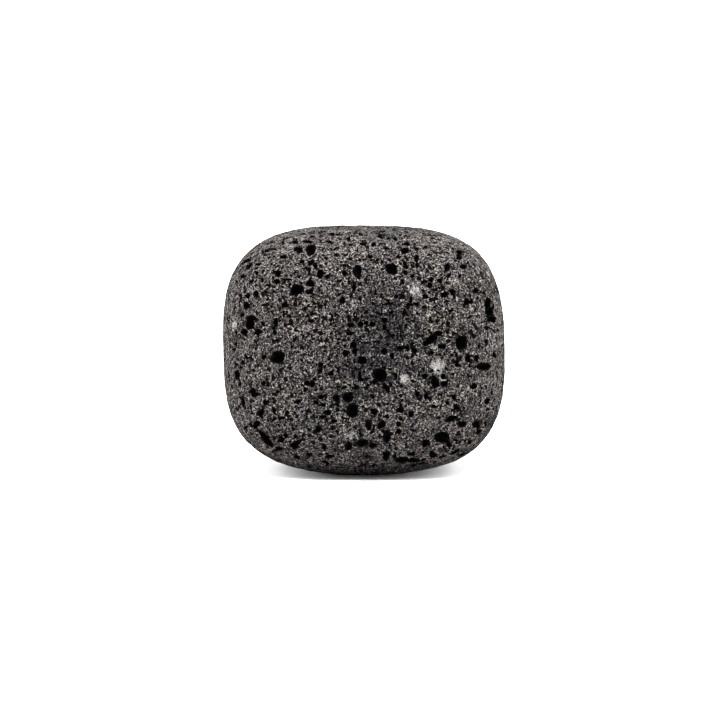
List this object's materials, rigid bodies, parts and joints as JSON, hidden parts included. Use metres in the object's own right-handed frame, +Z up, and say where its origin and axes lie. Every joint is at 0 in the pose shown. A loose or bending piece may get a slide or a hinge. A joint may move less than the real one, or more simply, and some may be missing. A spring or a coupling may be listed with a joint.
{
  "type": "lava rock",
  "caption": "Tumbled dark grey lava rock: a rounded block of basalt pitted all over by burst gas bubbles, resting on a small worn flat.",
  "frame": {"origin": "centre of the bounding box in plan, on the plane of the flat worn foot", "axes": "+X along the stone's longest side, +Y from the front towards the back, +Z up away from the foot"},
  "size_m": [0.05, 0.0465, 0.0434],
  "materials": {
    "basalt": "rough matt"
  },
  "bodies": {
    "root": {"lava_rock": "basalt"}
  },
  "joints": []
}
